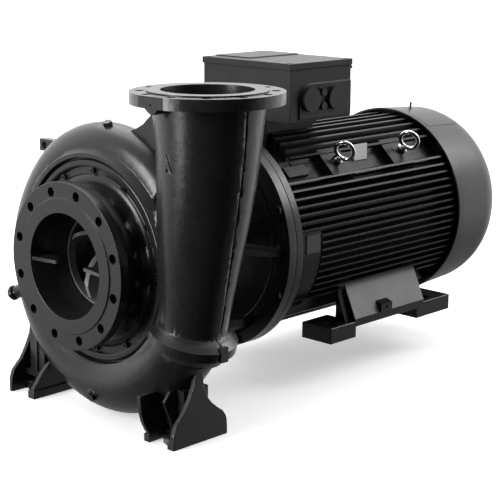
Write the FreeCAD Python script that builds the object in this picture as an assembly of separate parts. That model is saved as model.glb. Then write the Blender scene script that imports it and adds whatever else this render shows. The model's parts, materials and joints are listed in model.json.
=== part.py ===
import FreeCAD, Part
import math
import os
from FreeCAD import Vector, Rotation, Placement

os.makedirs("parts", exist_ok=True)

# ---------------------------------------------------------------------------
# Close-coupled pump. Millimetres. Origin: centre of the suction flange's face.
# +X runs along the shaft towards the motor, +Z is up, the discharge is on -Y.
# ---------------------------------------------------------------------------

# suction flange, DN 250 PN 10
SUC_OD, SUC_PCD, SUC_BORE, SUC_HOLE, SUC_N = 395.0, 350.0, 250.0, 23.0, 12
SUC_RF, SUC_T = 319.0, 28.0
# discharge flange, DN 200 PN 16
DIS_OD, DIS_PCD, DIS_BORE, DIS_HOLE, DIS_N = 340.0, 295.0, 206.0, 22.0, 12
DIS_RF, DIS_T = 268.0, 26.0
DIS_X, DIS_Y, DIS_Z = 148.0, -324.0, 421.0      # centre of the discharge face
DIS_CUT_X = -17.6                                # flat on the flange's suction side
# volute
VX = 148.0                                       # mid plane of the volute
LIP_X, LIP_RI, LIP_RO = 80.0, 246.0, 255.0
BACK_X = 246.0                                   # machined back face of the casing
BACK_R = 262.0
THROAT = Vector(VX, -275.0, -137.0)
# discharge cone: y of the axis, height, radius; the axis leans a little
CONE_OUT = [(-271, -150, 76), (-278, -108, 78.5), (-285, -53, 84), (-312, 150, 105), (-329, 368, 122.5), (-330, 398, 125.5)]
CONE_IN = [(-268, -182, 61), (-271, -150, 63), (-285, -53, 70.5), (-312, 150, 88), (-326, 340, 100), (-324, 425, 103)]
IMP_R = 185.0                                    # impeller radius
# lantern and motor
LAN_X1 = 460.0                                   # front of the lantern's motor flange
RING_R = 284.0
JOINT_X = 486.5                                  # face between lantern and motor
FRAME_X0, FRAME_X1 = 512.0, 1180.0
ROOT_R, FIN_R, STATOR_R = 222.0, 255.0, 205.0
FIN_PITCH = 19.0
COVER_R, COVER_X0, COVER_X1 = 264.0, 1174.0, 1390.0
MOTOR_H = 280.0                                  # shaft height over the motor feet
FOOT_H = 385.0                                   # shaft height over the volute feet
BOX_X0, BOX_X1, BOX_Y, BOX_Z0, BOX_Z1 = 596.0, 834.0, 156.0, 290.0, 438.0
LID_Z = 420.0
SHAFT_R = 30.0
PAD_Z = -334.0                                   # machined pads over the volute feet


# ---------------------------------------------------------------- helpers
def V(x, y, z):
    return Vector(float(x), float(y), float(z))


def cyl(x0, x1, r, y=0.0, z=0.0):
    return Part.makeCylinder(r, x1 - x0, V(x0, y, z), V(1, 0, 0))


def tube(x0, x1, ro, ri):
    return cyl(x0, x1, ro).cut(cyl(x0 - 1, x1 + 1, ri))


def cylz(z0, z1, r, x, y):
    return Part.makeCylinder(r, z1 - z0, V(x, y, z0), V(0, 0, 1))


def cyly(y0, y1, r, x, z):
    return Part.makeCylinder(r, y1 - y0, V(x, y0, z), V(0, 1, 0))


def box(x0, x1, y0, y1, z0, z1):
    return Part.makeBox(x1 - x0, y1 - y0, z1 - z0, V(x0, y0, z0))


def rev(pts):
    """Solid of revolution about X from (x, r) points."""
    w = Part.makePolygon([V(x, 0, r) for x, r in pts] + [V(pts[0][0], 0, pts[0][1])])
    return Part.Face(w).revolve(V(0, 0, 0), V(1, 0, 0), 360)


def prism(pts, d):
    """Extrude a closed polygon of vectors by the vector d."""
    return Part.Face(Part.makePolygon(list(pts) + [pts[0]])).extrude(d)


def fuse(shapes):
    s = shapes[0]
    if len(shapes) > 1:
        s = s.fuse(shapes[1:])
    return tidy(s)


def tidy(s):
    """Merge split faces where that keeps the solid valid."""
    c = s.removeSplitter()
    return c if c.isValid() and len(c.Solids) == len(s.Solids) else s


def rotx(s, deg):
    """Turn about X so that a piece at the top moves towards +Y by deg."""
    c = s.copy()
    c.rotate(V(0, 0, 0), V(1, 0, 0), -deg)
    return c


def mirror_y(s):
    return s.mirror(V(0, 0, 0), V(0, 1, 0))


def radial(theta, r, x=0.0):
    t = math.radians(theta)
    return V(x, r * math.sin(t), r * math.cos(t))


def hexprism(c, axis, af, h):
    """Hexagon of width af across flats, from c along axis by h."""
    r = af / math.sqrt(3.0)
    pts = [V(r * math.cos(math.radians(60 * i)), r * math.sin(math.radians(60 * i)), 0) for i in range(6)]
    p = prism(pts, V(0, 0, h))
    p.Placement = Placement(c, Rotation(V(0, 0, 1), axis))
    return p


def hexbolt(c, axis, d, length, head=None, af=None):
    """Hex bolt: the head stands from c along axis, the shank runs the other way."""
    head = head or 0.65 * d
    af = af or 1.55 * d
    h = hexprism(c, axis, af, head)
    cone = Part.makeCone(af * 0.5 * 1.15 + head, af * 0.46, head * 1.0 + af * 0.5 * 0.15, c, axis)
    h = h.common(cone)
    s = Part.makeCylinder(d / 2.0, length + 0.01, c + axis * 0.01, axis * -1)
    return h.fuse(s).removeSplitter()


def socket_screw(c, axis, d, length, hd=None, hh=None):
    hd = hd or 1.5 * d
    hh = hh or d
    h = Part.makeCylinder(hd / 2.0, hh, c, axis)
    s = Part.makeCylinder(d / 2.0, length + 0.01, c + axis * 0.01, axis * -1)
    b = h.fuse(s).removeSplitter()
    return b.cut(hexprism(c + axis * (hh * 0.4), axis, d * 0.8, hh))


parts = {}


def put(name, shape):
    shape = shape if isinstance(shape, Part.Compound) else Part.Compound([shape]) if len(shape.Solids) != 1 else shape.Solids[0]
    parts[name] = shape


def group(name, shapes):
    sol = []
    for s in shapes:
        sol += s.Solids
    parts[name] = Part.Compound(sol)


# ---------------------------------------------------------------- volute casing
# section table: angle from the top towards +Y, outer radius of the spiral, tube radius
SPIRAL = [(-50, 318, 54), (-25, 320, 57), (0, 322, 59), (25, 323, 60), (45, 325, 61), (68, 331, 63),
          (90, 344, 66), (110, 352, 69), (130, 360, 72), (150, 368, 76), (171, 375, 80), (196, 379, 84),
          (222, 379, 85), (236, 379, 85), (246, 385, 87)]
WALL = 13.0


def spiral_wire(theta, rout, r):
    w = Part.Wire([Part.makeCircle(r, V(VX, 0, rout - r), V(0, 1, 0))])
    w.rotate(V(0, 0, 0), V(1, 0, 0), -theta)
    return w


outer_tube = Part.makeLoft([spiral_wire(*s) for s in SPIRAL], True, False)
inner_tube = Part.makeLoft([spiral_wire(t, ro - WALL, r - WALL - (2 if t < 20 else 0)) for t, ro, r in SPIRAL[1:]], True, False)


def ring_wire(c, n, r):
    return Part.Wire([Part.makeCircle(r, c, n)])


UP = V(0, 0, 1)
cone_out = Part.makeLoft([ring_wire(V(DIS_X, y, z), UP, r) for y, z, r in CONE_OUT], True, False)
cone_in = Part.makeLoft([ring_wire(V(DIS_X, y, z), UP, r) for y, z, r in CONE_IN], True, False)

# collar where the spiral meets the cone: a stepped ring square to the flow
COL_N = V(0, -0.26, 0.966).normalize()
col_c = THROAT
collar = Part.makeCylinder(103.0, 22.0, col_c - COL_N * 16.0, COL_N)
collar = collar.fuse(Part.makeCone(103.0, 82.0, 16.0, col_c + COL_N * 6.0, COL_N))
throat_body = Part.makeCone(80.0, 93.0, 30.0, col_c - COL_N * 44.0, COL_N)

# central drum of the casing
drum = rev([(92, 205), (92, 240), (LIP_X, 240), (LIP_X, LIP_RO), (92, 266), (104, 270), (196, 270), (206, BACK_R), (BACK_X, BACK_R), (BACK_X, 205)])
disc_flange = cylz(DIS_Z - DIS_T, DIS_Z, DIS_OD / 2.0, DIS_X, DIS_Y)
disc_flange = disc_flange.cut(box(DIS_X - 260, DIS_CUT_X, DIS_Y - 200, DIS_Y + 200, DIS_Z - DIS_T - 5, DIS_Z + 1))
disc_face = cylz(DIS_Z - 1, DIS_Z + 3, DIS_RF / 2.0, DIS_X, DIS_Y)

# web between the volute's top and the cone, in the mid plane
WEB = [(-60, 285), (-60, 300), (-79, 309), (-103, 319), (-124, 330), (-137, 342), (-165, 364), (-205, 386), (-240, 386), (-240, 250), (-120, 250)]
web = prism([V(VX - 9, y, z) for y, z in WEB], V(18, 0, 0))
# small lug with a gauge tapping at the flat of the discharge flange
lug_d = prism([V(DIS_CUT_X, y, z) for y, z in [(-303, 396), (-345, 396), (-336, 386), (-326, 382), (-316, 386)]], V(58, 0, 0))
# lifting lug at the back of the volute, upper left
lug_b = box(200, 225, 150, 339, 213, 243)
# vent and drain: places on the outside of the tube and the directions they face
def on_tube(theta, ph, rout, r):
    t, a = math.radians(theta), math.radians(ph)
    nn = V(-math.sin(a), math.sin(t) * math.cos(a), math.cos(t) * math.cos(a))
    return radial(theta, rout - r, VX) + nn * r, nn


VENT_P, VENT_N = on_tube(-2.5, 20, 322, 58.4)
DRAIN_P, DRAIN_N = on_tube(181, 67, 376.5, 81)
# parting lugs on the collar and small bosses for the plugs
lug_c = box(VX - 11, VX + 11, -377, -330, -180, -146)
boss_d = Part.makeCylinder(15, 14, DRAIN_P - DRAIN_N * 12, DRAIN_N)
boss_s = Part.makeCylinder(17, 50, radial(113, 300, 118), radial(113, 1) + V(-0.35, 0, 0))
# pads that take the two feet
pad_r = box(110, 186, -284, -228, PAD_Z, -262)
pad_l = box(110, 186, 228, 284, PAD_Z, -215)

casing = outer_tube.fuse([drum, cone_out, collar, throat_body, disc_flange, disc_face, web, lug_d, lug_b, lug_c, boss_d, boss_s, pad_r, pad_l])
volute_envelope = outer_tube.fuse([throat_body, pad_r, pad_l])
# hollows
cav = rev([(60, 0), (60, 206), (119.9, 206), (119.9, 200), (207.9, 200), (207.9, 215), (BACK_X + 1, 215), (BACK_X + 1, 0)])
casing = casing.cut([inner_tube, cav, cone_in])
# ledge that carries the suction cover
ledge = rev([(104, 206), (104, 250), (120, 250), (120, 206)])
casing = casing.fuse(ledge)
seat = rev([(LIP_X - 30, 0), (LIP_X - 30, LIP_RI), (104, LIP_RI), (104, 0)])
cuts = [seat]
for i in range(DIS_N):
    a = math.radians(15 + 30 * i)
    cuts.append(cylz(DIS_Z - DIS_T - 20, DIS_Z + 5, DIS_HOLE / 2.0, DIS_X + DIS_PCD / 2 * math.cos(a), DIS_Y + DIS_PCD / 2 * math.sin(a)))
cuts.append(cyl(DIS_CUT_X - 1, 6, 2.6, -323, 403))
cuts.append(cyl(190, 230, 9.0, 320, 228))
cuts.append(Part.makeCylinder(8, 40, VENT_P - VENT_N * 30, VENT_N))
cuts.append(Part.makeCylinder(14, 20, VENT_P, VENT_N))
cuts.append(Part.makeCylinder(8, 40, DRAIN_P - DRAIN_N * 30, DRAIN_N))
N_LAN = 12
for i in range(N_LAN):
    c = radial(15 + 30 * i, 240)
    cuts.append(cyl(BACK_X - 26, BACK_X + 1, 6.0, c.y, c.z))
N_SCR = 12
for i in range(N_SCR):
    c = radial(30 * i, 214)
    cuts.append(cyl(100, 116, 4.0, c.y, c.z))
FOOT_BOLTS = [(148, 237), (148, 276)]
for fx, fy in FOOT_BOLTS:
    for s in (-1, 1):
        cuts.append(cylz(PAD_Z - 1, PAD_Z + 26, 6.0, fx, s * fy))
casing = casing.cut(cuts)
put("volute_casing", casing)

# ---------------------------------------------------------------- suction cover
n = 10
arc = [(112 - 24 * math.cos(math.radians(48.6 * i / n)), 189 + 24 * math.sin(math.radians(48.6 * i / n))) for i in range(n + 1)]
flare = [(64, 150), (72, 152), (79, 157), (84, 164), (87, 173)]
prof = [(0, SUC_BORE / 2), (0, SUC_RF / 2), (3, SUC_RF / 2), (3, SUC_OD / 2), (SUC_T, SUC_OD / 2), (SUC_T, 162), (31, 156), (36, 151)]
prof += flare + [(88, 182)] + arc + [(96, 209), (96, 223), (87, 223), (84, 226), (84, 237), (87, 240), (96, 240), (96, 245.8), (104, 245.8), (104, 205.6), (117, 204.6),
                                     (117, 150), (118, 131), (97, 131), (97, 109), (84, 116), (60, SUC_BORE / 2)]
cover = rev(prof)
cuts = []
for i in range(SUC_N):
    c = radial(15 + 30 * i, SUC_PCD / 2)
    cuts.append(cyl(-2, SUC_T + 2, SUC_HOLE / 2, c.y, c.z))
for i in range(N_SCR):
    c = radial(30 * i, 214)
    cuts.append(cyl(84, 110, 4.5, c.y, c.z))
    cuts.append(cyl(80, 96, 7.2, c.y, c.z))
gb = radial(-52, 138, 50)
cover = cover.fuse(Part.makeCylinder(13, 22, gb, radial(-52, 1)))
cuts.append(Part.makeCylinder(6, 40, radial(-52, 128, 50), radial(-52, 1)))
# two flat guide ribs across the inlet, one from each side
for sgn in (-1, 1):
    rib = prism([V(3, sgn * 127, -4), V(15, sgn * 52, -4), V(30, sgn * 50, -4), V(66, sgn * 112, -4), V(66, sgn * 127, -4)], V(0, 0, 8))
    cover = cover.fuse(rib)
cover = cover.cut(cuts).removeSplitter()
put("suction_cover", cover)
gz = radial(-52, 160.05, 50)
put("gauge_plug", hexbolt(gz, radial(-52, 1), 11.9, 18, 8, 17))
group("suction_cover_screws", [socket_screw(radial(30 * i, 214, 96), V(-1, 0, 0), 7.9, 18, 12.8, 8) for i in range(N_SCR)])

# wear rings
put("casing_wear_ring", tube(98.5, 117, 131, 121.2))
put("impeller_wear_ring", tube(100.5, 117, 120.6, 112))

# ---------------------------------------------------------------- impeller
back_shroud = rev([(180, 22), (180, IMP_R), (190, IMP_R), (191, 70), (200, 44), (206, 40), (206, 22)])
hub = rev([(152, 22), (152, 32), (166, 44), (180, 62), (184, 62), (184, 22)])
front_shroud = rev([(99, 106), (99, 112), (118, 112), (121, 126), (132, IMP_R), (140, IMP_R), (129, 128), (124, 112), (118, 106)])
vane_zone = rev([(152.2, 24), (152.2, 35), (126, 60), (106, 88), (106, 106.5), (121, 109), (126, 127), (137, IMP_R), (182, IMP_R), (182, 24)])
N_VANE = 4
vanes = []
for k in range(N_VANE):
    sp, sm = [], []
    m = 16
    for i in range(m + 1):
        r = 34 + (IMP_R + 3 - 34) * i / m
        th = math.radians(90 * k + 20) - 1.05 * math.log(r / 34.0) / math.log(IMP_R / 34.0) * 2.2
        t = 4.5
        d = V(math.cos(th), math.sin(th), 0)
        slope = 1.05 * 2.2 / math.log(IMP_R / 34.0)
        tang = (d + V(-math.sin(th), math.cos(th), 0) * (-slope)).normalize()
        nrm = V(-tang.y, tang.x, 0)
        p = d * r
        sp.append(p + nrm * t)
        sm.append(p - nrm * t)
    pts = sp + sm[::-1]
    poly = [V(100, q.x, q.y) for q in pts]
    vanes.append(prism(poly, V(84, 0, 0)).common(vane_zone))
imp = fuse([back_shroud, hub, front_shroud] + vanes)
imp = imp.cut(box(150, 210, -6, 6, 18, 28))
imp = imp.cut(cyl(140, 210, 22.0))
put("impeller", imp)
put("impeller_key", box(160, 200, -6, 6, 20, 27.6))
put("impeller_washer", tube(144, 151.9, 34, 12.2))
put("impeller_bolt", hexbolt(V(144, 0, 0), V(-1, 0, 0), 20, 60, 13, 30))

# ---------------------------------------------------------------- casing cover and seal
ccover = rev([(208, 52), (208, 214.8), (225.8, 214.8), (225.8, 210.8), (232.2, 210.8), (232.2, 214.8), (BACK_X, 214.8), (BACK_X, 205), (234, 200), (222, 180), (222, 92), (236, 80), (292, 76), (292, 52), (286, 50), (286, 38), (282, 38), (282, 55), (224, 55), (222, 46), (208, 46)])
put("casing_cover", ccover)
put("cover_seal_ring", rev([(226, 214.98), (226, 211.0), (232, 211.0), (232, 214.98)]))
put("seal_stationary_ring", rev([(208.5, 33.5), (208.5, 45.9), (220, 45.9), (222, 44), (222, 33.5)]))
put("seal_rotating_ring", rev([(222.2, 30.2), (222.2, 42), (226, 42), (226, 48), (238, 48), (238, 30.2)]))
outerz = [(238.2, 40)] + [(238.2 + 4 * i + (2 if j == 0 else 4), 47 if j == 0 else 40) for i in range(6) for j in (0, 1)]
innerz = [(x, r - 3) for x, r in outerz][::-1]
put("seal_spring", rev(outerz + innerz))
put("seal_drive_collar", rev([(262.4, 30.2), (262.4, 47), (276, 47), (276, 30.2)]))

# ---------------------------------------------------------------- lantern bracket
front_fl = tube(BACK_X, 268, BACK_R, 150)
shell = rev([(262, 196), (262, 226), (300, 226), (LAN_X1 + 2, 256), (LAN_X1 + 2, 238), (300, 206)])
rear_fl = tube(LAN_X1, JOINT_X, RING_R, 225)
lan = fuse([front_fl, shell, rear_fl])
win = []
HALF = 54.0
for s in (-1, 1):
    w = prism([V(268.01, 0, 0), V(268.01, s * 400 * math.cos(math.radians(HALF)), 400 * math.sin(math.radians(HALF))),
               V(268.01, s * 600, 0), V(268.01, s * 400 * math.cos(math.radians(HALF)), -400 * math.sin(math.radians(HALF)))], V(LAN_X1 - 268.02, 0, 0))
    win.append(w)
lan = lan.cut(win)
ribs = []
for s in (-1, 1):
    plan = prism([V(262, s * 168, -40), V(262, s * 246, -40), V(320, s * 240, -40), V(LAN_X1 + 2, s * 266, -40), V(LAN_X1 + 2, s * 236, -40), V(330, s * 176, -40)], V(0, 0, 120))
    side = prism([V(262, 0, 22), V(262, 0, 54), V(LAN_X1 + 2, 0, 11), V(LAN_X1 + 2, 0, -9)], V(0, s * 300, 0))
    ribs.append(plan.common(side))
lan = fuse([lan] + ribs)
cuts = []
for i in range(N_LAN):
    c = radial(15 + 30 * i, 240)
    cuts.append(cyl(BACK_X - 1, 275, 6.6, c.y, c.z))
    cuts.append(cyl(268.0, 282, 13.0, c.y, c.z))
N_RING = 8
for i in range(N_RING):
    c = radial(22.5 + 45 * i, 270)
    cuts.append(cyl(LAN_X1 - 1, JOINT_X + 1, 7.6, c.y, c.z))
lan = lan.cut(cuts).removeSplitter()
put("lantern_bracket", lan)
group("lantern_bolts", [hexbolt(radial(15 + 30 * i, 240, 268), V(1, 0, 0), 11.9, 40, 8, 18) for i in range(N_LAN)])
group("ring_bolts", [hexbolt(radial(22.5 + 45 * i, 270, LAN_X1), V(-1, 0, 0), 13.9, 44, 9, 21) for i in range(N_RING)])

# ---------------------------------------------------------------- motor end shields and frame
de = rev([(JOINT_X, 95), (JOINT_X, RING_R - 2), (JOINT_X + 1, RING_R), (FRAME_X0 - 3, RING_R), (FRAME_X0, RING_R - 6), (FRAME_X0, 204.6), (FRAME_X0 + 14, 204.6), (FRAME_X0 + 14, 186), (524, 110), (566, 102), (566, 85), (526, 85), (526, 50), (504, 50), (504, 95)])
cuts = []
for i in range(N_RING):
    c = radial(22.5 + 45 * i, 270)
    cuts.append(cyl(JOINT_X - 1, JOINT_X + 22, 7.0, c.y, c.z))
de = de.cut(cuts).removeSplitter()
put("drive_end_shield", de)

shellm = tube(FRAME_X0, FRAME_X1, ROOT_R, STATOR_R)
fins = []
FT = 5.0
for i in range(-8, 9):
    z = i * FIN_PITCH
    for s in (-1, 1):
        x0 = FRAME_X0 + 4 if i >= 2 or i <= -8 else 612.0
        y0, y1 = (100, 260) if s > 0 else (-260, -100)
        fins.append(box(x0, FRAME_X1 - 2, y0, y1, z - FT / 2, z + FT / 2))
TOP_Y = [20, 46, 73, 100, 127, 152]
FIN_START = {20: 660.0, 46: 650.0, 73: 632.0, 100: 620.0, 127: 609.0, 152: 601.0}
for y in TOP_Y:
    for s in (-1, 1):
        for up in (1, -1):
            z0, z1 = (150, 262) if up > 0 else (-262, -150)
            fins.append(box(FIN_START[y] if up > 0 else 560.0, FRAME_X1 - 2, s * y - 3, s * y + 3, z0, z1))
env = tube(FRAME_X0, FRAME_X1, FIN_R, ROOT_R - 6)
fin_solid = env.common(fins)
# corner flats at 43.5 degrees, where the lugs stand: no fins there
clear = []
for s in (-1, 1):
    w = prism([V(FRAME_X0 - 5, 0, 0), V(FRAME_X0 - 5, s * 400 * math.sin(math.radians(37.5)), 400 * math.cos(math.radians(37.5))),
               V(FRAME_X0 - 5, s * 400 * math.sin(math.radians(51.5)), 400 * math.cos(math.radians(51.5)))], V(700, 0, 0))
    clear.append(w)
fin_solid = fin_solid.cut(clear)
extra = []
LUG_A = 43.5
EYE_X = {712.0: 757.0, 962.0: 1025.0}             # lug block start and its eye bolt
for s in (-1, 1):
    # flat shoulder and two lug blocks per side
    sh = box(FRAME_X0 + 4, FRAME_X1 - 2, -36, 36, 205, 229)
    extra.append(rotx(sh, s * LUG_A))
    for x0 in (712.0, 962.0):
        lb = prism([V(x0, -42, 212), V(x0 + 96, -42, 212), V(x0 + 96, -42, 238), V(x0 + 84, -42, 251), V(x0, -42, 251)], V(0, 84, 0))
        extra.append(rotx(lb, s * LUG_A))
    # raised flat and bolt lug beside the ring, above and below
    extra.append(rotx(box(617, 726, min(s * -11, s * -59), max(s * -11, s * -59), 214, 231), s * LUG_A))
    extra.append(rotx(box(572, 649, min(s * 18, s * -13), max(s * 18, s * -13), 214, 240), s * LUG_A))
    extra.append(rotx(box(548, 616, -18, 18, 214, 246), s * 132))
    # smooth band beside the ring, below the upper fins
    band = box(FRAME_X0 + 4, 612.0, 100, 252, -168, 33) if s > 0 else box(FRAME_X0 + 4, 612.0, -252, -100, -168, 33)
    extra.append(band.common(tube(FRAME_X0, FRAME_X1, FIN_R - 3, ROOT_R - 6)))
# terminal box pedestal on top
ped = box(632, 812, -42, 42, 150, 290).fuse(box(632, 826, -42, 112, 262, 290)).fuse(box(700, 826, -84, -42, 278, 290)).cut(cyl(600, 830, ROOT_R - 4))
extra.append(ped)
# foot bosses below
FB = [(744, 790), (1012, 1060)]
FB_BOLT = {744: 757, 1012: 1046}
for s in (-1, 1):
    for x0, x1 in FB:
        b = prism([V(x0, s * 190, -238), V(x0, s * 224.4, -238), V(x0, s * 198, -168), V(x0, s * 198, -120), V(x0, s * 190, -120)], V(x1 - x0, 0, 0))
        extra.append(b.cut(cyl(x0 - 1, x1 + 1, ROOT_R - 4)))
frame = shellm.fuse([fin_solid] + extra)
cuts = [cyl(FRAME_X0 - 5, FRAME_X1 + 5, STATOR_R)]
cuts.append(box(650, 780, -32, 32, 150, 291))
for s in (-1, 1):
    for x0 in (712.0, 962.0):
        h = Part.makeCylinder(9.8, 36, V(EYE_X[x0], 0, 216), V(0, 0, 1))
        cuts.append(rotx(h, s * LUG_A))
    for x0, x1 in FB:
        cuts.append(cylz(-240, -212, 6.0, FB_BOLT[x0], s * 206))
    # room for the foot's sloping plate between the lower fins
    cuts.append(prism([V(766, s * 189.5, -144.4), V(766, s * 197.4, -141.2), V(766, s * 252, -170), V(766, s * 252, -241), V(766, s * 225.7, -241)], V(299, 0, 0)))
frame = frame.cut(cuts).removeSplitter()
put("motor_frame", frame)

# ---------------------------------------------------------------- inside the motor
put("stator_core", tube(660, 1020, STATOR_R, 130))
group("stator_winding", [rev([(612, 146), (618, 140), (640, 136), (659.8, 136), (659.8, 186), (640, 190), (620, 186), (612, 178)]),
                         rev([(1020.2, 136), (1040, 136), (1062, 140), (1068, 146), (1068, 178), (1060, 186), (1040, 190), (1020.2, 186)])])
shaft = rev([(152.0, 0), (152.0, 21.98), (206.1, 21.98), (206.1, 30), (300, 30), (300, 36), (503, 36), (503, 40), (600, 40), (600, 48), (1110, 48), (1110, 40), (1180, 40), (1180, 34), (1258, 34), (1258, 0)])
shaft = shaft.cut(cyl(151, 206, 10.0))
shaft = shaft.cut(box(160, 200, -6, 6, 20, 30))
put("shaft", shaft)
put("rotor_core", tube(660, 1020, 129, 48))
group("rotor_end_rings", [tube(636, 659.9, 122, 76), tube(1020.1, 1044, 122, 76)])


def bearing(tag, x0, w, ri, ro, nb):
    rm = (ri + ro) / 2.0
    rb = (ro - ri) * 0.27
    inner = tube(x0, x0 + w, rm - rb * 0.62, ri)
    outer = tube(x0, x0 + w, ro, rm + rb * 0.62)
    tor = Part.makeTorus(rm, rb + 0.08, V(x0 + w / 2.0, 0, 0), V(1, 0, 0))
    inner = inner.cut(tor)
    outer = outer.cut(tor)
    put(tag + "_inner_race", inner)
    put(tag + "_outer_race", outer)
    cage = tube(x0 + w / 2.0 - rb * 0.45, x0 + w / 2.0 + rb * 0.45, rm + rb * 0.3, rm - rb * 0.3)
    balls = []
    for i in range(nb):
        c = radial(360.0 * i / nb, rm, x0 + w / 2.0)
        balls.append(Part.makeSphere(rb, c))
    put(tag + "_balls", cage.fuse(balls).removeSplitter())


bearing("front_bearing", 527, 38, 40, 84.9, 9)
bearing("rear_bearing", 1126, 36, 40, 79.9, 9)
put("front_bearing_cap", rev([(566.2, 50), (566.2, 100), (576, 100), (576, 50)]))
nde = rev([(FRAME_X1, 192), (FRAME_X1, 236), (FRAME_X1 + 14, 236), (FRAME_X1 + 14, 176), (1176, 100), (1176, 62), (1164, 62), (1164, 80), (1126, 80), (1124, 92), (1140, 100), (1158, 176), (1158, 204.6), (FRAME_X1, 204.6)])
put("rear_end_shield", nde)
put("rear_bearing_cap", rev([(1114, 50), (1114, 90), (1123.9, 90), (1123.9, 79), (1125.8, 79), (1125.8, 50)]))

# fan and its cover
fan_hub = rev([(1196, 34), (1196, 46), (1204, 60), (1232, 60), (1240, 210), (1244, 210), (1244, 34)])
blades = []
for i in range(9):
    b = box(1206, 1242, -2.5, 2.5, 56, 214)
    blades.append(rotx(b, 40 * i + 10))
put("fan", fuse([fan_hub] + blades))
CT = 3.0
def dome(t, n=9):
    """Quarter ellipse from the taper to the flat back, drawn in by t."""
    return [(1310 + (80 - t) * math.sin(math.radians(90.0 * i / n)), 208 + (50 - t) * math.cos(math.radians(90.0 * i / n))) for i in range(n + 1)]


out_p = [(COVER_X0, COVER_R - CT), (COVER_X0, COVER_R + 2.5), (COVER_X0 + 12, COVER_R + 2.5), (COVER_X0 + 15, COVER_R), (1200, COVER_R)]
prof = out_p + dome(0) + [(COVER_X1, 0), (COVER_X1 - CT, 0)] + dome(CT)[::-1]
fc = rev(prof)
# lapped sheet over the top of the cover
lap = rev([(1191, 262), (1191, COVER_R + 1.2), (1200, COVER_R + 1.2), (1310, 259.2), (1332, 257.2), (1332, 254.5), (1310, 257)])
lap = lap.common(prism([V(1180, 0, 0), V(1180, -400 * math.sin(math.radians(31)), 400 * math.cos(math.radians(31))), V(1180, 400 * math.sin(math.radians(31)), 400 * math.cos(math.radians(31)))], V(170, 0, 0)))
fc = fc.fuse(lap)
slots = []
for r0 in (52, 78, 104, 130, 156, 182):
    slots.append(tube(1376, 1392, r0 + 15, r0))
sp = [rotx(box(1370, 1395, -6, 6, 40, 240), 30 * i) for i in range(12)]
sl = slots[0].fuse(slots[1:]).cut(sp)
fc = fc.cut(sl)
# four fixing tabs inside the front rim reach the rear end shield
tabs = []
for i in range(4):
    tabs.append(rotx(box(COVER_X0 + 20.2, COVER_X0 + 24.2, -16, 16, 214, COVER_R - 1), 45 + 90 * i))
fc = fuse([fc] + tabs)
for i in range(4):
    c = radial(45 + 90 * i, 226)
    fc = fc.cut(cyl(COVER_X0 + 15, COVER_X0 + 30, 4.5, c.y, c.z))
NIP_A = 6.3
fc = fc.cut(rotx(cylz(240, 280, 2.9, 1247, 0), -NIP_A))
put("fan_cover", fc)
group("fan_cover_screws", [hexbolt(radial(45 + 90 * i, 226, COVER_X0 + 24.2), V(1, 0, 0), 7.9, 16, 5.5, 13) for i in range(4)])
nde2 = parts["rear_end_shield"]
ncuts = []
for i in range(4):
    c = radial(45 + 90 * i, 226)
    ncuts.append(cyl(FRAME_X1 - 6, FRAME_X1 + 20, 3.95, c.y, c.z))
put("rear_end_shield", nde2.cut(ncuts))
gn = fuse([cylz(250, 278, 2.8, 1247, 0), Part.makeCone(5, 3.2, 4, V(1247, 0, 263.4), V(0, 0, 1)), Part.makeSphere(3.6, V(1247, 0, 279))])
gn = rotx(gn, -NIP_A)
put("grease_nipple", gn)

# ---------------------------------------------------------------- terminal box
base = box(BOX_X0 + 3, BOX_X1 - 3, -BOX_Y + 3, BOX_Y - 3, BOX_Z0, LID_Z)
base = base.cut(box(BOX_X0 + 8, BOX_X1 - 8, -BOX_Y + 8, BOX_Y - 8, BOX_Z0 + 6, LID_Z + 1))
base = base.cut(box(650, 780, -32, 32, BOX_Z0 - 1, BOX_Z0 + 7))
KN = [(670, 345, 31), (765, 343, 30), (715, 361, 10), (715, 326, 10)]
pan = []
for s in (-1, 1):
    y0, y1 = (-BOX_Y - 0.5, -BOX_Y + 4) if s < 0 else (BOX_Y - 4, BOX_Y + 0.5)
    pan.append(box(670, 829, y0, y1, BOX_Z0 + 6, 384).fuse([box(631, 670, y0, y1, BOX_Z0 + 6, 345), cyly(y0, y1, 39, 670, 345)]))
base = fuse([base] + pan)
kcut = []
for s in (-1, 1):
    for kx, kz, kr in KN:
        kcut.append(cyly(-BOX_Y - 1, -BOX_Y + 12, kr - 4, kx, kz) if s < 0 else cyly(BOX_Y - 12, BOX_Y + 1, kr - 4, kx, kz))
for dx in (BOX_X0 + 24, BOX_X1 - 24):
    for dy in (-100, 100):
        kcut.append(cylz(BOX_Z0 - 1, BOX_Z0 + 8, 4.5, dx, dy))
base = base.fuse(box(BOX_X1 - 4, BOX_X1 + 4, -BOX_Y + 3, BOX_Y - 3, LID_Z - 8, LID_Z))
base = base.cut(kcut).removeSplitter()
put("terminal_box_base", base)
put("terminal_box_gasket", box(BOX_X0 + 3, BOX_X1 - 3, -BOX_Y + 3, BOX_Y - 3, LID_Z, LID_Z + 2).cut(box(BOX_X0 + 10, BOX_X1 - 10, -BOX_Y + 10, BOX_Y - 10, LID_Z - 1, LID_Z + 3)))
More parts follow.
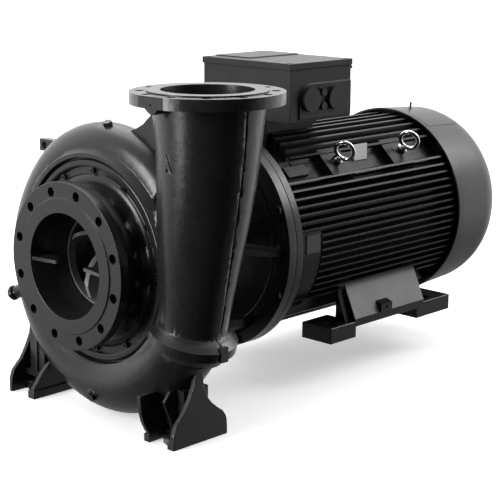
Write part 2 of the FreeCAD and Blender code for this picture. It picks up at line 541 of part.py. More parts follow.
# lid: a shallow tray with a low raised field on its far half
lid = box(BOX_X0, BOX_X1, -BOX_Y, BOX_Y, LID_Z + 2, BOX_Z1).fuse(box(636, 822, 22, 146, BOX_Z1 - 1, BOX_Z1 + 3))
lid = lid.cut(box(BOX_X0 + 6, BOX_X1 - 6, -BOX_Y + 6, BOX_Y - 6, LID_Z, BOX_Z1 - 6))
LS = [(BOX_X0 + 14, -BOX_Y + 14), (BOX_X1 - 14, -BOX_Y + 14), (BOX_X0 + 14, BOX_Y - 14), (BOX_X1 - 14, BOX_Y - 14)]
posts = [cylz(BOX_Z0 + 6, LID_Z, 9, x, y) for x, y in LS]
base = parts["terminal_box_base"].fuse(posts)
base = base.cut([cylz(LID_Z - 22, LID_Z + 1, 3.9, x, y) for x, y in LS]).removeSplitter()
put("terminal_box_base", base)
gsk = parts["terminal_box_gasket"].fuse([cylz(LID_Z, LID_Z + 2, 9, x, y) for x, y in LS]).cut([cylz(LID_Z - 1, LID_Z + 3, 4.2, x, y) for x, y in LS])
put("terminal_box_gasket", gsk.removeSplitter())
lposts = [cylz(LID_Z + 2, BOX_Z1 - 5, 9, x, y) for x, y in LS]
lid = lid.fuse(lposts)
lid = lid.cut([cylz(LID_Z, BOX_Z1 + 10, 4.3, x, y) for x, y in LS] + [cylz(BOX_Z1 - 7, BOX_Z1 + 10, 8, x, y) for x, y in LS]).removeSplitter()
put("terminal_box_lid", lid)
group("lid_screws", [socket_screw(V(x, y, BOX_Z1 - 7), V(0, 0, 1), 7.8, 30, 13, 6) for x, y in LS])
plugs = []
for s in (-1, 1):
    for kx, kz, kr in KN:
        y = s * (BOX_Y + 0.5)
        ax = V(0, s, 0)
        p = Part.makeCylinder(kr, 9.5, V(kx, y, kz), ax)
        p = p.fuse(Part.makeCylinder(kr - 4.2, 9, V(kx, y + s * 0.5, kz), ax * -1))
        plugs.append(p.removeSplitter())
group("gland_plugs", plugs)
tb = box(660, 772, -34, 34, BOX_Z0 + 6, BOX_Z0 + 26)
tb = tb.cut([cylz(BOX_Z0 + 12, BOX_Z0 + 27, 5.0, x, y) for x in (684, 716, 748) for y in (-18, 18)])
brd = box(640, 792, -78, 78, BOX_Z0 + 6, BOX_Z0 + 9)
put("terminal_board", tb.fuse(brd).removeSplitter())
group("terminal_studs", [fuse([cylz(BOX_Z0 + 12.1, BOX_Z0 + 52, 4.9, x, y), hexprism(V(x, y, BOX_Z0 + 26.1), V(0, 0, 1), 16, 8)]) for x in (684, 716, 748) for y in (-18, 18)])

# ---------------------------------------------------------------- eye bolts, plates, feet
eyes = []
for s in (-1, 1):
    for x0 in (712.0, 962.0):
        xc = EYE_X[x0]
        e = fuse([cylz(217, 251.5, 9.7, xc, 0), cylz(251, 260, 14, xc, 0), Part.makeCone(14, 7.5, 8, V(xc, 0, 260), V(0, 0, 1)),
                  Part.makeTorus(24, 5.4, V(xc, 0, 290), V(0, 1, 0))])
        e.rotate(V(xc, 0, 0), V(0, 0, 1), 62 * s)
        eyes.append(rotx(e, s * LUG_A))
group("eye_bolts", eyes)
# upright plate standing on the right shoulder between the lugs
put("name_plate", box(847, 899, -156.8, -155.2, 170, 212))
bp = box(556, 606, -253.8, -252.05, -20, 26)
put("badge_plate", bp)

# volute feet: base with a slot open towards the suction side, side plates, rib
FP = [(57, -FOOT_H), (57, -352), (62, -336), (67, -326), (90, -304), (108, -275), (122, -245), (127, -214), (146, -213), (150, -232), (153, -256), (163, -279), (176, -296), (196, -313), (212, -324), (222, -338), (226, -350), (227, -FOOT_H)]
FP_IN = {-1: [(60, -FOOT_H), (60, -366), (51, -354), (41, -334), (34, -308), (31, -268), (150, -268), (166, -284), (187, -306), (217, -330), (225, -352), (227, -FOOT_H)],
         1: [(62, -FOOT_H), (62, -362), (93, -324), (126, -292), (140, -280), (166, -284), (187, -306), (217, -330), (225, -352), (227, -FOOT_H)]}
RIB = {-1: [(72, -285), (77, -300), (93, -336), (98, -370), (186, -370), (186, -262), (90, -262)],
       1: [(107, -240), (104, -332), (104, -370), (186, -370), (186, -240)]}

# slot in each base, open towards the suction side
SLOT = {-1: [(40, -223.5), (98, -223.5), (106, -226), (109, -234), (106, -242), (98, -245), (80, -245), (66, -284), (40, -284)],
        1: [(40, 294.5), (98, 294.5), (106, 290), (109, 278), (106, 266), (98, 261), (82, 261), (62, 230), (40, 230)]}


def volute_foot(s):
    def slab(pts, y0, y1):
        a, b = min(s * y0, s * y1), max(s * y0, s * y1)
        return prism([V(x, a, z) for x, z in pts], V(0, b - a, 0))

    pl = [slab(FP, 294, 306), slab(FP_IN[s], 212, 224), slab(RIB[s], 252, 260)]
    y0, y1 = (205, 306) if s > 0 else (-306, -205)
    basep = box(57, 227, y0, y1, -FOOT_H, -FOOT_H + 19)
    topp = box(104, 190, y0 if s < 0 else y0 + 8, y1 if s > 0 else y1 - 8, PAD_Z - 14, PAD_Z)
    backp = box(178, 190, y0 if s < 0 else y0 + 8, y1 if s > 0 else y1 - 8, -FOOT_H + 10, PAD_Z - 2)
    f = fuse(pl + [basep, topp, backp]).cut(volute_envelope)
    cuts = [prism([V(x, y, -FOOT_H - 1) for x, y in SLOT[s]], V(0, 0, 21))]
    for fx, fy in FOOT_BOLTS:
        cuts.append(cylz(PAD_Z - 20, PAD_Z + 6, 6.6, fx, s * fy))
    return f.cut(cuts).removeSplitter()


put("right_volute_foot", volute_foot(-1))
put("left_volute_foot", volute_foot(1))
fb = []
for fx, fy in FOOT_BOLTS:
    for s in (-1, 1):
        fb.append(hexbolt(V(fx, s * fy, PAD_Z - 14), V(0, 0, -1), 11.9, 36, 8, 18))
group("volute_foot_bolts", fb)


def motor_foot(s):
    def b(x0, x1, y0, y1, z0, z1):
        return box(x0, x1, y0, y1, z0, z1) if s > 0 else box(x0, x1, -y1, -y0, z0, z1)
    pads = [b(673, 773, 136, 237, -MOTOR_H, -238), b(1032, 1181, 136, 237, -MOTOR_H, -238)]
    bar = b(760, 1040, 214, 237, -252, -238)
    pts = [V(768, s * 237, -240), V(768, s * 237, -231), V(768, s * 197, -142), V(768, s * 190, -145), V(768, s * 226, -240)]
    plate = prism(pts, V(295, 0, 0))
    f = fuse(pads + [bar, plate])
    cuts = []
    for x in (706, 1108):
        cuts.append(cylz(-MOTOR_H - 1, -236, 12.0, x, s * 205))
    for x in FB_BOLT.values():
        cuts.append(cylz(-MOTOR_H - 1, -237, 6.6, x, s * 206))
        cuts.append(cylz(-MOTOR_H - 1, -262, 10.5, x, s * 206))
    return f.cut(cuts).removeSplitter()


put("right_motor_foot", motor_foot(-1))
put("left_motor_foot", motor_foot(1))
mb = []
for s in (-1, 1):
    for x in FB_BOLT.values():
        mb.append(socket_screw(V(x, s * 206, -262), V(0, 0, -1), 11.9, 44, 20, 12))
group("motor_foot_bolts", mb)
# earth terminal block on the right foot's sloping plate
et = prism([V(868, -224, -201), V(868, -244, -209), V(868, -244, -231), V(868, -230.2, -225.3), V(868, -224.2, -212)], V(46, 0, 0))
parts_et = et.cut(parts["right_motor_foot"]).cut(cyly(-260, -234, 4, 891, -218))
put("earth_terminal", parts_et.Solids[0])

# plugs on the volute
put("vent_plug", hexbolt(VENT_P + VENT_N * 0.05, VENT_N, 15.9, 18, 9, 21))
put("drain_plug", hexbolt(DRAIN_P + DRAIN_N * 2.05, DRAIN_N, 15.9, 18, 9, 21))
sd = (radial(113, 1) + V(-0.35, 0, 0)).normalize()
sp0 = radial(113, 300, 118) + sd * 50.02
put("side_plug", fuse([Part.makeCylinder(13, 22, sp0, sd), Part.makeCylinder(19, 7, sp0 + sd * 8, sd)]))

for name, shape in parts.items():
    assert len(shape.Solids) >= 1, name
    assert shape.isValid(), name + " is not valid"
    shape.exportStep("parts/" + name + ".step")
    bb = shape.BoundBox
    print("%-24s n=%d vol=%.0f  x %.0f..%.0f y %.0f..%.0f z %.0f..%.0f" % (name, len(shape.Solids), shape.Volume, bb.XMin, bb.XMax, bb.YMin, bb.YMax, bb.ZMin, bb.ZMax))
print(len(parts), "nodes")
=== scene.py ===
import json
import math

import bmesh
import bpy
from mathutils import Matrix, Vector
from mathutils.bvhtree import BVHTree

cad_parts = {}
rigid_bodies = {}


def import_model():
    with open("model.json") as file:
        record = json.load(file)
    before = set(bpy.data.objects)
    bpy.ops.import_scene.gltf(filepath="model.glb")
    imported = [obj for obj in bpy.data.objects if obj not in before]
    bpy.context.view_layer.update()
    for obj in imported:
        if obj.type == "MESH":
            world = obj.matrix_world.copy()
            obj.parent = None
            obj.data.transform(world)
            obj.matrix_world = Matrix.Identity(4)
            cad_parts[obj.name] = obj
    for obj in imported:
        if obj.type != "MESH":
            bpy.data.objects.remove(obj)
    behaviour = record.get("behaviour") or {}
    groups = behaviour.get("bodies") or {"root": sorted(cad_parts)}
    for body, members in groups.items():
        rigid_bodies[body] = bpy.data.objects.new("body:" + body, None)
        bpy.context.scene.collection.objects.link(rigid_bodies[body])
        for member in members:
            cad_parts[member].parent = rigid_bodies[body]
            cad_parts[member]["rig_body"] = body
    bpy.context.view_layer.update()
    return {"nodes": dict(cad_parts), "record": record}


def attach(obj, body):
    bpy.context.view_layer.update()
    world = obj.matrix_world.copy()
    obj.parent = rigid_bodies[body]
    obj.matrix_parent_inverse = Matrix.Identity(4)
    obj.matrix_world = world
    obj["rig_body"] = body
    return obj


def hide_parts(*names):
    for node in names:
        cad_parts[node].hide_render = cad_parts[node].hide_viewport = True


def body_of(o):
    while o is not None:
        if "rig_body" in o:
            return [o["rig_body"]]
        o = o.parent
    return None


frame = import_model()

nodes = frame["nodes"]

# ------------------------------------------------------------------ camera
YAW, PITCH, ROLL = math.radians(43.995), math.radians(12.807), math.radians(0.254)
fwd = Vector((math.cos(PITCH) * math.cos(YAW), math.cos(PITCH) * math.sin(YAW), -math.sin(PITCH)))
right0 = Vector((math.sin(YAW), -math.cos(YAW), 0.0))
up0 = right0.cross(fwd)
right = right0 * math.cos(ROLL) + up0 * math.sin(ROLL)
up = up0 * math.cos(ROLL) - right0 * math.sin(ROLL)
cam_data = bpy.data.cameras.new("camera")
cam = bpy.data.objects.new("camera", cam_data)
bpy.context.scene.collection.objects.link(cam)
cam_data.sensor_width = 36.0
cam_data.lens = 36.0 * 1401.24 / 500.0
cam_data.clip_end = 100.0
m = Matrix((
    (right.x, up.x, -fwd.x, -1.9611),
    (right.y, up.y, -fwd.y, -2.4894),
    (right.z, up.z, -fwd.z, 0.7557),
    (0, 0, 0, 1)))
cam.matrix_world = m
bpy.context.scene.camera = cam

# ------------------------------------------------------------------ materials


def new_mat(name):
    mat = bpy.data.materials.new(name)
    mat.use_nodes = True
    nt = mat.node_tree
    bsdf = next(n for n in nt.nodes if n.type == "BSDF_PRINCIPLED")
    return mat, nt, bsdf


def node(nt, kind, **kw):
    n = nt.nodes.new(kind)
    for k, v in kw.items():
        setattr(n, k, v)
    return n


def noise(nt, coord, scale, detail=4.0, rough=0.55, dist=0.0):
    n = node(nt, "ShaderNodeTexNoise")
    n.inputs["Scale"].default_value = scale
    n.inputs["Detail"].default_value = detail
    n.inputs["Roughness"].default_value = rough
    n.inputs["Distortion"].default_value = dist
    nt.links.new(coord, n.inputs["Vector"])
    return n


def ramp(nt, fac, stops):
    r = node(nt, "ShaderNodeValToRGB")
    el = r.color_ramp.elements
    while len(el) < len(stops):
        el.new(0.5)
    for e, (p, c) in zip(el, stops):
        e.position = p
        e.color = c if len(c) == 4 else (*c, 1.0)
    nt.links.new(fac, r.inputs["Fac"])
    return r


def g(v):
    return (v, v, v, 1.0)


def tint(c, k):
    return (c[0] * k, c[1] * k, c[2] * k, 1.0)


def painted(name, base, rough=(0.38, 0.55), grain=900.0, grain_h=0.00012, lump=120.0, lump_h=0.0004, spec=0.5, coat=0.0, var=0.25, metallic=0.0, dust=0.0):
    """Satin paint over metal: colour drifts a little, fine grain and slow lumps in the surface."""
    mat, nt, b = new_mat(name)
    tc = node(nt, "ShaderNodeTexCoord").outputs["Object"]
    n1 = noise(nt, tc, 14.0, 5.0, 0.6)
    n2 = noise(nt, tc, grain * 0.35, 3.0, 0.6)
    mixn = node(nt, "ShaderNodeMath", operation="MULTIPLY_ADD")
    nt.links.new(n2.outputs["Fac"], mixn.inputs[0])
    mixn.inputs[1].default_value = 0.35
    nt.links.new(n1.outputs["Fac"], mixn.inputs[2])
    r = ramp(nt, mixn.outputs[0], [(0.45, tint(base, 1 - var)), (0.62, tint(base, 1.0)), (0.88, tint(base, 1 + var))])
    col = r.outputs["Color"]
    if dust > 0:
        geo = node(nt, "ShaderNodeNewGeometry")
        sep = node(nt, "ShaderNodeSeparateXYZ")
        nt.links.new(geo.outputs["Normal"], sep.inputs[0])
        mr = node(nt, "ShaderNodeMapRange")
        mr.inputs["From Min"].default_value = 0.35
        mr.inputs["From Max"].default_value = 1.0
        mr.inputs["To Min"].default_value = 0.0
        mr.inputs["To Max"].default_value = dust
        nt.links.new(sep.outputs["Z"], mr.inputs["Value"])
        n4 = noise(nt, tc, 30.0, 6.0, 0.65)
        mm = node(nt, "ShaderNodeMath", operation="MULTIPLY")
        nt.links.new(mr.outputs["Result"], mm.inputs[0])
        nt.links.new(n4.outputs["Fac"], mm.inputs[1])
        mx = node(nt, "ShaderNodeMix", data_type="RGBA")
        nt.links.new(mm.outputs[0], mx.inputs["Factor"])
        nt.links.new(col, mx.inputs["A"])
        mx.inputs["B"].default_value = (0.30, 0.29, 0.28, 1.0)
        col = mx.outputs["Result"]
    nt.links.new(col, b.inputs["Base Color"])
    n3 = noise(nt, tc, 45.0, 4.0, 0.6)
    rr = node(nt, "ShaderNodeMapRange")
    rr.inputs["From Min"].default_value = 0.3
    rr.inputs["From Max"].default_value = 0.7
    rr.inputs["To Min"].default_value = rough[0]
    rr.inputs["To Max"].default_value = rough[1]
    nt.links.new(n3.outputs["Fac"], rr.inputs["Value"])
    nt.links.new(rr.outputs["Result"], b.inputs["Roughness"])
    b.inputs["Metallic"].default_value = metallic
    b.inputs["Specular IOR Level"].default_value = spec
    b.inputs["Coat Weight"].default_value = coat
    b.inputs["Coat Roughness"].default_value = 0.25
    bg = node(nt, "ShaderNodeBump")
    bg.inputs["Strength"].default_value = 1.0
    bg.inputs["Distance"].default_value = grain_h
    ng = noise(nt, tc, grain, 2.0, 0.5)
    nt.links.new(ng.outputs["Fac"], bg.inputs["Height"])
    bl = node(nt, "ShaderNodeBump")
    bl.inputs["Strength"].default_value = 1.0
    bl.inputs["Distance"].default_value = lump_h
    nl = noise(nt, tc, lump, 3.0, 0.55)
    nt.links.new(nl.outputs["Fac"], bl.inputs["Height"])
    nt.links.new(bg.outputs["Normal"], bl.inputs["Normal"])
    nt.links.new(bl.outputs["Normal"], b.inputs["Normal"])
    return mat


def metal(name, base, rough=(0.22, 0.4), metallic=1.0, grain=(60.0, 60.0, 900.0), depth=0.00003, var=0.12):
    """Bare or plated metal with fine tool marks."""
    mat, nt, b = new_mat(name)
    tc = node(nt, "ShaderNodeTexCoord").outputs["Object"]
    mp = node(nt, "ShaderNodeMapping")
    mp.inputs["Scale"].default_value = grain
    nt.links.new(tc, mp.inputs["Vector"])
    n1 = noise(nt, mp.outputs["Vector"], 1.0, 4.0, 0.6)
    r = ramp(nt, n1.outputs["Fac"], [(0.3, tint(base, 1 - var)), (0.7, tint(base, 1 + var))])
    nt.links.new(r.outputs["Color"], b.inputs["Base Color"])
    rr = node(nt, "ShaderNodeMapRange")
    rr.inputs["From Min"].default_value = 0.3
    rr.inputs["From Max"].default_value = 0.7
    rr.inputs["To Min"].default_value = rough[0]
    rr.inputs["To Max"].default_value = rough[1]
    n2 = noise(nt, tc, 60.0, 5.0, 0.6)
    nt.links.new(n2.outputs["Fac"], rr.inputs["Value"])
    nt.links.new(rr.outputs["Result"], b.inputs["Roughness"])
    b.inputs["Metallic"].default_value = metallic
    bp = node(nt, "ShaderNodeBump")
    bp.inputs["Strength"].default_value = 1.0
    bp.inputs["Distance"].default_value = depth
    nt.links.new(n1.outputs["Fac"], bp.inputs["Height"])
    nt.links.new(bp.outputs["Normal"], b.inputs["Normal"])
    return mat


cast = painted("cast_paint", (0.014, 0.014, 0.0145), rough=(0.25, 0.32), grain=420, grain_h=0.00017, lump=90, lump_h=0.00016, var=0.25, dust=0.02)
smooth_cast = painted("smooth_cast_paint", (0.012, 0.012, 0.0125), rough=(0.26, 0.31), grain=520, grain_h=0.00008, lump=60, lump_h=0.00006, var=0.2, dust=0.015)
impeller_m = painted("impeller_paint", (0.15, 0.15, 0.152), rough=(0.26, 0.36), grain=600, grain_h=0.0002, lump=80, lump_h=0.0005)
motor_m = painted("motor_paint", (0.0075, 0.0075, 0.008), rough=(0.26, 0.36), grain=1100, grain_h=0.00006, lump=120, lump_h=0.00025, dust=0.02)
box_m = painted("box_paint", (0.017, 0.017, 0.0175), rough=(0.36, 0.46), grain=1000, grain_h=0.00005, lump=150, lump_h=0.0001, dust=0.03, spec=0.30)
frame_m = painted("frame_paint", (0.0055, 0.0055, 0.006), rough=(0.26, 0.34), grain=1100, grain_h=0.00006, lump=120, lump_h=0.00025, dust=0.015, spec=0.22)
cover_m = painted("cover_paint", (0.035, 0.035, 0.036), rough=(0.34, 0.42), grain=1400, grain_h=0.00003, lump=60, lump_h=0.0001, var=0.08)
# much lighter than the frame paint: this tone is a painted reflection of light on the sloping foot plates
foot_sheen_paint = painted("foot_paint", (0.24, 0.24, 0.243), rough=(0.36, 0.46), grain=900, grain_h=0.00005, lump=120, lump_h=0.0002, var=0.12)
steel_m = metal("turned_steel", (0.55, 0.55, 0.56))
zinc_m = metal("dull_zinc", (0.20, 0.20, 0.21), rough=(0.35, 0.5))
chrome_m = metal("bright_plate", (0.82, 0.82, 0.83), rough=(0.06, 0.14), depth=0.00001)
iron_m = metal("machined_iron", (0.28, 0.28, 0.29), rough=(0.35, 0.5))
plate_m = painted("white_plate", (0.85, 0.85, 0.85), rough=(0.35, 0.5), grain=800, grain_h=0.00003, lump_h=0.00005, var=0.06)
badge_m = painted("dark_plate", (0.03, 0.03, 0.03), rough=(0.3, 0.4), grain=800, grain_h=0.00003, lump_h=0.00005)
rubber_m = painted("elastomer", (0.012, 0.012, 0.012), rough=(0.6, 0.75), grain_h=0.00005)
plastic_m = painted("black_plastic", (0.018, 0.018, 0.018), rough=(0.35, 0.5), grain=1500, grain_h=0.00004, lump_h=0.0001)
copper_m = metal("winding", (0.45, 0.18, 0.07), rough=(0.3, 0.5), grain=(900, 900, 900), depth=0.0002)
brass_m = metal("brass", (0.62, 0.42, 0.14), rough=(0.25, 0.4))
alu_m = metal("cast_aluminium", (0.6, 0.6, 0.62), rough=(0.35, 0.55), grain=(300, 300, 300))
lam_m = metal("laminations", (0.2, 0.2, 0.22), rough=(0.4, 0.55), grain=(2000, 10, 10), depth=0.0001)
board_m = painted("board", (0.10, 0.075, 0.05), rough=(0.4, 0.55))

by_slot = {"dark_paint": cast, "motor_paint": motor_m, "cover_paint": cover_m, "foot_paint": foot_sheen_paint, "steel": steel_m,
           "zinc_steel": zinc_m, "chrome_steel": chrome_m, "impeller_iron": impeller_m, "wear_iron": iron_m,
           "seal_carbon": rubber_m, "elastomer": rubber_m, "aluminium_cast": alu_m, "electrical_steel": lam_m,
           "copper_winding": copper_m, "board": board_m, "brass": brass_m, "plate_white": plate_m,
           "plate_dark": badge_m, "plastic_black": plastic_m}
slot_of = {s["node"]: s["material_slot"] for s in frame["record"]["subparts"]}
for name, o in nodes.items():
    mat = by_slot[slot_of[name]]
    if name == "suction_cover":
        mat = smooth_cast
    if name in ("terminal_box_base", "terminal_box_lid", "gland_plugs"):
        mat = box_m
    if name in ("suction_cover_screws", "vent_plug", "drain_plug", "gauge_plug", "ring_bolts", "lantern_bolts"):
        mat = cast
    if name in ("right_motor_foot", "left_motor_foot", "motor_frame", "earth_terminal", "motor_foot_bolts"):
        mat = frame_m
    o.data.materials.clear()
    o.data.materials.append(mat)

# ------------------------------------------------------------------ rounded edges
SMOOTH = math.radians(28.0)


def clean_copy(src, name):
    """The node's mesh as one closed shell."""
    bm = bmesh.new()
    bm.from_mesh(src.data)
    bmesh.ops.remove_doubles(bm, verts=bm.verts, dist=1e-6)
    me = bpy.data.meshes.new(name)
    bm.to_mesh(me)
    bm.free()
    return me


def plane_flat(me):
    """Faces square to an axis stay plane."""
    for f in me.polygons:
        n = f.normal
        if max(abs(n.x), abs(n.y), abs(n.z)) > 0.9998:
            f.use_smooth = False


def round_edges(me, width, keep=None, segs=2, angle=SMOOTH):
    bm = bmesh.new()
    bm.from_mesh(me)
    sharp = [e for e in bm.edges if len(e.link_faces) == 2 and e.calc_face_angle(0.0) > angle and (keep is None or keep(e.verts[0].co, e.verts[1].co))]
    # an edge alone belongs to a bolt hole, not to a ring
    count = {}
    for e in sharp:
        for v in e.verts:
            count[v.index] = count.get(v.index, 0) + 1
    sharp = [e for e in sharp if count[e.verts[0].index] > 1 or count[e.verts[1].index] > 1]
    bmesh.ops.bevel(bm, geom=sharp, offset=width, offset_type="OFFSET", segments=segs, profile=0.5, affect="EDGES", clamp_overlap=False, loop_slide=True)
    bmesh.ops.remove_doubles(bm, verts=bm.verts, dist=2e-6)
    for f in bm.faces:
        f.smooth = True
    bm.to_mesh(me)
    bm.free()
    me.set_sharp_from_angle(angle=math.radians(42.0))
    plane_flat(me)


def about_shaft(a, c):
    """Edges that run round the shaft axis."""
    return abs(a.x - c.x) < 5e-5 and abs(math.hypot(a.y, a.z) - math.hypot(c.y, c.z)) < 8e-5


ROUND = {"suction_cover": (0.0013, about_shaft), "right_volute_foot": (0.0014, None),
         "left_volute_foot": (0.0014, None), "right_motor_foot": (0.0014, None), "left_motor_foot": (0.0014, None),
         "terminal_box_base": (0.0012, None), "terminal_box_lid": (0.0010, None), "fan_cover": (0.0007, None),
         "lantern_bracket": (0.0012, about_shaft), "drive_end_shield": (0.0009, about_shaft), "motor_frame": (0.0006, None)}
made = {}


def paint_plate_sheen(o):
    """The sloping outward side plate of a motor foot takes the lighter paint, which is a painted reflection of light on
    that plate.
    """
    o.data.materials.append(foot_sheen_paint)
    for f in o.data.polygons:
        n, c = f.normal, f.center
        if abs(n.x) < 0.2 and 0.25 < abs(n.z) < 0.97 and abs(n.y) > 0.25 and n.y * c.y > 0 and f.area > 2e-5:
            f.material_index = 1


for name, (width, keep) in ROUND.items():
    src = nodes[name]
    me = clean_copy(src, name + "_r")
    round_edges(me, width, keep)
    o = bpy.data.objects.new(name + "_r", me)
    bpy.context.scene.collection.objects.link(o)
    me.materials.append(src.data.materials[0])
    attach(o, body_of(src)[0])
    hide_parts(name)
    wn = o.modifiers.new("even_normals", "WEIGHTED_NORMAL")
    wn.mode = "FACE_AREA"
    wn.weight = 100
    wn.thresh = 0.02
    wn.keep_sharp = True
    if "motor_foot" in name:
        # outward sloping plate faces get the lighter paint, a painted reflection
        paint_plate_sheen(o)
    made[name] = o

# ------------------------------------------------------------------ casting marks on the volute casing
def sweep(name, pts, section, closed_ends=True):
    """A bar through pts, each (place, outward direction), whose section is given as (across, out) pairs."""
    bm = bmesh.new()
    rings = []
    for i, (q, n) in enumerate(pts):
        a = Vector(pts[max(i - 1, 0)][0])
        c = Vector(pts[min(i + 1, len(pts) - 1)][0])
        t = (c - a).normalized()
        n = (Vector(n) - t * Vector(n).dot(t)).normalized()
        side = t.cross(n)
        rings.append([bm.verts.new(Vector(q) + side * u + n * w) for u, w in section])
    k = len(section)
    for r0, r1 in zip(rings, rings[1:]):
        for j in range(k):
            bm.faces.new((r0[j], r0[(j + 1) % k], r1[(j + 1) % k], r1[j]))
    bm.faces.new(rings[0][::-1])
    bm.faces.new(rings[-1])
    bmesh.ops.recalc_face_normals(bm, faces=bm.faces)
    me = bpy.data.meshes.new(name)
    bm.to_mesh(me)
    bm.free()
    return me


def new_obj(name, me, mat=None):
    o = bpy.data.objects.new(name, me)
    bpy.context.scene.collection.objects.link(o)
    if mat is not None:
        me.materials.append(mat)
    return o


MM = 0.001
# parting groove down the outside of the cone: places on its surface, millimetres
GROOVE = [(135.0, -454.5, 392.0), (136.5, -452.4, 383.0), (139.5, -448.6, 348.7), (141.2, -444.5, 314.1), (141.6, -440.4, 283.7), (141.8, -436.4, 257.6),
          (142.6, -426.8, 200.0), (144.4, -415.3, 143.5), (147.4, -401.1, 83.2), (151.0, -388.9, 31.3), (154.6, -374.0, -31.2), (156.1, -359.7, -91.3),
          (156.3, -354.0, -118.0)]
def curve_through(pts, per=4):
    """More places along a smooth curve through pts."""
    out = []
    for i in range(len(pts) - 1):
        p0, p1, p2, p3 = (Vector(pts[min(max(j, 0), len(pts) - 1)]) for j in (i - 1, i, i + 1, i + 2))
        for k in range(per):
            t = k / per
            out.append(0.5 * ((2 * p1) + (p2 - p0) * t + (2 * p0 - 5 * p1 + 4 * p2 - p3) * t * t + (3 * p1 - p0 - 3 * p2 + p3) * t ** 3))
    return out + [Vector(pts[-1])]


casing_me = clean_copy(nodes["volute_casing"], "volute_casing_r")
skin = BVHTree.FromPolygons([v.co for v in casing_me.vertices], [tuple(f.vertices) for f in casing_me.polygons])
g_line = []
for q in curve_through([(x * MM, y * MM, z * MM) for x, y, z in GROOVE]):
    hit = skin.ray_cast(q + Vector((0.0, -0.06, 0.0)), Vector((0.0, 1.0, 0.0)), 0.12)[0]
    if hit is not None:
        g_line.append(hit)
for _ in range(3):
    g_line = [g_line[0]] + [(g_line[i - 1] + g_line[i] * 2 + g_line[i + 1]) / 4 for i in range(1, len(g_line) - 1)] + [g_line[-1]]
g_pts = [(tuple(q), (-0.05, -0.985, -0.17)) for q in g_line]
groove = sweep("groove", g_pts, [(-0.0015, 0.006), (-0.0015, -0.0030), (0.0015, -0.0030), (0.0015, 0.006)])
# short slanted cut and a dot left by the pattern, on the side that faces the suction
mark = sweep("mark", [((x * MM, y * MM, z * MM), (-1, 0, 0)) for x, y, z in ((32.6, -316.6, 292.5), (33.4, -321.3, 278.0), (34.4, -325.9, 265.4), (35.5, -330.4, 253.0))],
             [(-0.0019, 0.003), (-0.0013, -0.003), (0.0013, -0.003), (0.0019, 0.003)])
dot_pts = [(-0.0042 * math.cos(k * math.pi / 6), 0.0042 * math.sin(k * math.pi / 6)) for k in range(12)]
dot = sweep("dot", [((0.0325, -0.3146, 0.2572), (0, 0, 1)), ((0.0385, -0.3146, 0.2572), (0, 0, 1))], dot_pts)

for f in casing_me.polygons:
    f.use_smooth = True
casing = new_obj("volute_casing_r", casing_me, cast)
for tool in (groove, mark, dot):
    t = new_obj(tool.name + "_tool", tool)
    bo = casing.modifiers.new("cut", "BOOLEAN")
    bo.operation = "DIFFERENCE"
    bo.solver = "EXACT"
    bo.object = t
    bpy.context.view_layer.update()
    cut_me = bpy.data.meshes.new_from_object(casing.evaluated_get(bpy.context.evaluated_depsgraph_get()))
    casing.modifiers.remove(bo)
    casing.data = cut_me
    bpy.data.objects.remove(t)
casing.data.name = "volute_casing_r"
casing.data.set_sharp_from_angle(angle=math.radians(26.0))
plane_flat(casing.data)
wn = casing.modifiers.new("even_normals", "WEIGHTED_NORMAL")
wn.weight = 60
wn.keep_sharp = True
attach(casing, body_of(nodes["volute_casing"])[0])
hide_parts("volute_casing")

# parting ridge across the collar
ridge_pts = [((146.0, -349.0, -133.4), (0.0, -0.26, 0.966)), ((146.5, -357.0, -135.8), (0.0, -0.45, 0.89)), ((147.0, -365.0, -142.6), (0.0, -0.78, 0.62)),
             ((147.5, -371.5, -148.0), (0.0, -0.9, 0.43))]
ridge = new_obj("parting_ridge", sweep("parting_ridge", [((a * MM, b_ * MM, c * MM), n) for (a, b_, c), n in ridge_pts],
                                       [(-0.0022, -0.003), (-0.0016, 0.0008), (-0.0006, 0.0017), (0.0006, 0.0017), (0.0016, 0.0008), (0.0022, -0.003)]), cast)
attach(ridge, body_of(nodes["volute_casing"])[0])


# ring behind the fan that turns the air into it
def lathe(name, prof, segs=96):
    bm = bmesh.new()
    rings = []
    for k in range(segs):
        a = 2 * math.pi * k / segs
        rings.append([bm.verts.new((x, r * math.cos(a), r * math.sin(a))) for x, r in prof])
    n = len(prof)
    for k in range(segs):
        r0, r1 = rings[k], rings[(k + 1) % segs]
        for j in range(n):
            bm.faces.new((r0[j], r0[(j + 1) % n], r1[(j + 1) % n], r1[j]))
    bmesh.ops.recalc_face_normals(bm, faces=bm.faces)
    for f in bm.faces:
        f.smooth = True
    me = bpy.data.meshes.new(name)
    bm.to_mesh(me)
    bm.free()
    me.set_sharp_from_angle(angle=math.radians(30.0))
    return me


air_ring = new_obj("air_ring", lathe("air_ring", [(1.2475, 0.196), (1.2475, 0.2565), (1.2495, 0.2565), (1.2495, 0.200), (1.262, 0.190), (1.2605, 0.1885)]), plastic_m)
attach(air_ring, body_of(nodes["fan_cover"])[0])

# ------------------------------------------------------------------ stage and lights
scene = bpy.context.scene
scene.view_settings.view_transform = "Standard"
scene.view_settings.look = "None"
scene.view_settings.exposure = 0.0

floor_mat, nt, b = new_mat("floor")
b.inputs["Base Color"].default_value = (0.90, 0.90, 0.90, 1)
b.inputs["Roughness"].default_value = 0.9
b.inputs["Specular IOR Level"].default_value = 0.0
b.inputs["Emission Color"].default_value = (1, 1, 1, 1)
b.inputs["Emission Strength"].default_value = 0.42
bm = bmesh.new()
S = 60.0
vs = [bm.verts.new((x, y, -0.3852)) for x, y in ((-S, -S), (S, -S), (S, S), (-S, S))]
bm.faces.new(vs)
me = bpy.data.meshes.new("floor")
bm.to_mesh(me)
bm.free()
floor = bpy.data.objects.new("floor", me)
bpy.context.scene.collection.objects.link(floor)
me.materials.append(floor_mat)
floor.visible_diffuse = False
floor.visible_glossy = False

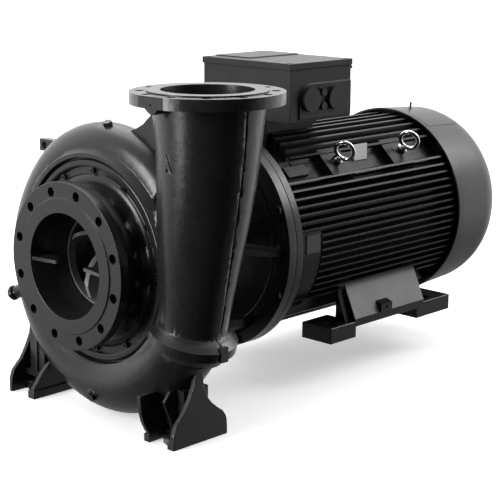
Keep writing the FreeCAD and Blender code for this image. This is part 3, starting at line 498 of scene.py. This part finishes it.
# A studio sky: dark in front, bright behind, with a soft tall panel on the left and one on the right.
world = bpy.data.worlds.new("world")
bpy.context.scene.world = world
world.use_nodes = True
wt = world.node_tree
bgn = wt.nodes["Background"]
wdir = node(wt, "ShaderNodeTexCoord").outputs["Generated"]


def smooth(sock, lo, hi, a, c):
    mr = node(wt, "ShaderNodeMapRange", interpolation_type="SMOOTHSTEP")
    mr.inputs["From Min"].default_value = lo
    mr.inputs["From Max"].default_value = hi
    mr.inputs["To Min"].default_value = a
    mr.inputs["To Max"].default_value = c
    wt.links.new(sock, mr.inputs["Value"])
    return mr.outputs["Result"]


def dot(vec):
    d = node(wt, "ShaderNodeVectorMath", operation="DOT_PRODUCT")
    wt.links.new(wdir, d.inputs[0])
    d.inputs[1].default_value = vec
    return d.outputs["Value"]


def op(kind, a, c):
    n = node(wt, "ShaderNodeMath", operation=kind)
    for k, v in enumerate((a, c)):
        if isinstance(v, (int, float)):
            n.inputs[k].default_value = v
        else:
            wt.links.new(v, n.inputs[k])
    return n.outputs[0]


zdir = dot((0.0, 0.0, 1.0))
back = smooth(dot((0.70, 0.714, 0.0)), -0.50, 0.55, 0.02, 1.5)
level = smooth(zdir, -0.55, -0.12, 0.25, 1.0)
top = smooth(zdir, 0.35, 0.95, 0.0, 0.45)
total = op("ADD", op("MULTIPLY", back, level), top)
wt.links.new(total, bgn.inputs["Strength"])
bgn.inputs["Color"].default_value = (1, 1, 1, 1)


def area(name, loc, target, size, power, size_y=None):
    d = bpy.data.lights.new(name, "AREA")
    d.energy = power
    d.shape = "RECTANGLE" if size_y else "SQUARE"
    d.size = size
    if size_y:
        d.size_y = size_y
    o = bpy.data.objects.new(name, d)
    bpy.context.scene.collection.objects.link(o)
    o.location = loc
    o.rotation_euler = (Vector(target) - Vector(loc)).to_track_quat("-Z", "Y").to_euler()
    return o


def sun(name, toward, energy, angle):
    d = bpy.data.lights.new(name, "SUN")
    d.energy = energy
    d.angle = math.radians(angle)
    o = bpy.data.objects.new(name, d)
    bpy.context.scene.collection.objects.link(o)
    o.rotation_euler = Vector(toward).to_track_quat("Z", "Y").to_euler()
    return o


area("left", (-3.15, 0.70, 0.85), (0.0, 0.0, 0.1), 1.25, 158, 3.0)
area("right", (3.17, -1.62, 1.9), (0.9, -0.2, -0.2), 1.9, 42, 1.3)
sun("top", (0.30, 0.42, 0.86), 1.25, 52)

# pale wall far behind everything, for views from low down
wbm = bmesh.new()
N_W = 64
low_ring = [wbm.verts.new((58.0 * math.cos(2 * math.pi * k / N_W), 58.0 * math.sin(2 * math.pi * k / N_W), -0.9)) for k in range(N_W)]
high_ring = [wbm.verts.new((v.co.x, v.co.y, 45.0)) for v in low_ring]
for k in range(N_W):
    wbm.faces.new((low_ring[k], low_ring[(k + 1) % N_W], high_ring[(k + 1) % N_W], high_ring[k]))
wall_me = bpy.data.meshes.new("backdrop")
wbm.to_mesh(wall_me)
wbm.free()
wall_mat, wall_nt, wall_b = new_mat("backdrop")
wall_b.inputs["Base Color"].default_value = (0.0, 0.0, 0.0, 1.0)
wall_b.inputs["Specular IOR Level"].default_value = 0.0
wall_b.inputs["Emission Color"].default_value = (1.0, 1.0, 1.0, 1.0)
wall_b.inputs["Emission Strength"].default_value = 1.0
wall = new_obj("backdrop", wall_me, wall_mat)
wall.visible_diffuse = False
wall.visible_glossy = False
wall.visible_shadow = False
